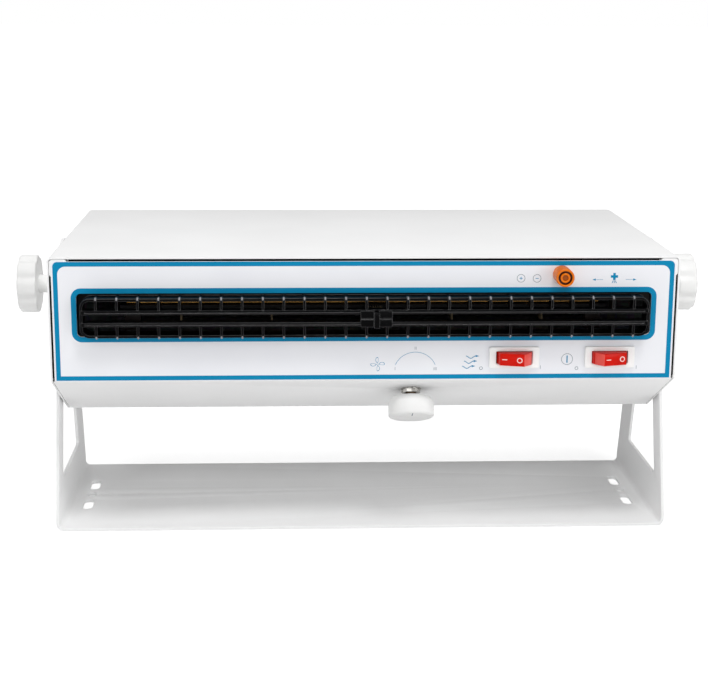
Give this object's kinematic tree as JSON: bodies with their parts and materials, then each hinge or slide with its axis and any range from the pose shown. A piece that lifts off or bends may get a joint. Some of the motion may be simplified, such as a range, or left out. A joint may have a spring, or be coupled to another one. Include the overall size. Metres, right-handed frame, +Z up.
{
  "type": "ionizing blower",
  "caption": "Benchtop ionizing air blower: wide sheet-metal housing with a ribbed outlet, cross-flow fan, emitter points, switches and a speed knob, on a tilting U bracket with side knobs.",
  "frame": {"origin": "centre of the bracket's underside, below the pivot axis", "axes": "+X to the operator's right along the pivot axis, +Y to the rear, +Z up"},
  "size_m": [0.4664, 0.2487, 0.188],
  "materials": {
    "white_powder_coat": "satin, very fine orange peel",
    "overlay_film": "fine satin film",
    "blue_ink": "printed, satin",
    "zinc_steel": "zinc plated",
    "rubber_black": "matte",
    "white_plastic": "semi-gloss, moulded",
    "black_plastic": "satin, moulded",
    "bristle": "soft bristles",
    "bar_plastic": "matte",
    "brass": "turned",
    "needle_steel": "ground points",
    "ceramic": "glazed",
    "mica": "layered",
    "heater_alloy": "dull",
    "bronze": "sintered",
    "lamination": "laminated",
    "copper": "enamelled wire",
    "rotor_aluminium": "turned",
    "circuit_board": "solder mask",
    "component_plastic": "moulded",
    "red_plastic": "polished",
    "amber_lens": "clear amber, polished",
    "contact_metal": "nickel plated",
    "fuse_glass": "clear with metal ends",
    "filter_foam": "open-cell foam"
  },
  "bodies": {
    "stand": {"stand_bracket": "white_powder_coat"},
    "housing": {"chassis": "white_powder_coat", "top_cover": "white_powder_coat", "cover_screws": "zinc_steel", "panel_overlay": "overlay_film", "border_print": "blue_ink", "pivot_plate_left": "zinc_steel", "pivot_plate_right": "zinc_steel", "friction_washers": "rubber_black", "outlet_guard": "black_plastic", "guard_nuts": "zinc_steel", "emitter_bar": "bar_plastic", "emitter_bus": "brass", "emitter_points": "needle_steel", "emitter_posts": "ceramic", "heater_boards": "mica", "heater_wires": "heater_alloy", "thermal_cutout": "black_plastic", "fan_plate_left": "zinc_steel", "fan_plate_right": "zinc_steel", "fan_scroll": "zinc_steel", "fan_tongue": "zinc_steel", "duct_sides": "zinc_steel", "shaft_bush": "bronze", "bush_mount": "rubber_black", "motor_core": "lamination", "motor_coil": "copper", "motor_brackets": "zinc_steel", "hv_module": "black_plastic", "power_board": "circuit_board", "board_parts": "component_plastic", "board_spacers": "brass", "heat_switch_body": "white_plastic", "power_switch_body": "white_plastic", "lamp_body": "bar_plastic", "lamp_lens": "amber_lens", "speed_pot": "component_plastic", "pot_nut": "zinc_steel", "inlet_body": "black_plastic", "inlet_pins": "contact_metal", "inlet_screws": "zinc_steel", "intake_filter": "filter_foam", "intake_guard": "white_powder_coat", "guard_screws": "zinc_steel", "ground_post": "brass"},
    "knob_left": {"side_knob_left": "white_plastic", "side_stud_left": "zinc_steel"},
    "knob_right": {"side_knob_right": "white_plastic", "side_stud_right": "zinc_steel"},
    "cleaner": {"cleaner_slider": "black_plastic", "cleaner_brush": "bristle"},
    "rotor": {"impeller": "black_plastic", "fan_shaft": "zinc_steel", "motor_rotor": "rotor_aluminium"},
    "heat_rocker": {"heat_rocker": "red_plastic"},
    "power_rocker": {"power_rocker": "red_plastic"},
    "speed": {"speed_knob": "white_plastic", "pot_spindle": "zinc_steel"},
    "drawer": {"fuse_drawer": "black_plastic", "fuse": "fuse_glass"}
  },
  "joints": [
    {"name": "tilt", "type": "hinge", "parent": "stand", "child": "housing", "pos_m": [0, 0, 0.154], "axis": [1, 0, 0], "range_deg": [-90, 90]},
    {"name": "knob_left_turn", "type": "hinge", "parent": "housing", "child": "knob_left", "pos_m": [-0.21, 0, 0.154], "axis": [-1, 0, 0], "range_deg": [0, 360]},
    {"name": "knob_right_turn", "type": "hinge", "parent": "housing", "child": "knob_right", "pos_m": [0.21, 0, 0.154], "axis": [1, 0, 0], "range_deg": [0, 360]},
    {"name": "cleaner_slide", "type": "slide", "parent": "housing", "child": "cleaner", "axis": [1, 0, 0], "range_m": [-0.172, 0.16]},
    {"name": "fan_spin", "type": "hinge", "parent": "housing", "child": "rotor", "pos_m": [0, 0.022, 0.132], "axis": [1, 0, 0], "continuous": true},
    {"name": "heat_rocker_tilt", "type": "hinge", "parent": "housing", "child": "heat_rocker", "pos_m": [0.0952, -0.095, 0.1228], "axis": [0, 0, 1], "range_deg": [0, 32]},
    {"name": "power_rocker_tilt", "type": "hinge", "parent": "housing", "child": "power_rocker", "pos_m": [0.1567, -0.095, 0.1228], "axis": [0, 0, 1], "range_deg": [-32, 0]},
    {"name": "speed_turn", "type": "hinge", "parent": "housing", "child": "speed", "pos_m": [0.031, -0.07088, 0.09611], "axis": [0, -0.4573, -0.8893], "range_deg": [-135, 135]},
    {"name": "drawer_slide", "type": "slide", "parent": "housing", "child": "drawer", "axis": [0, 1, 0], "range_m": [0, 0.016]}
  ]
}
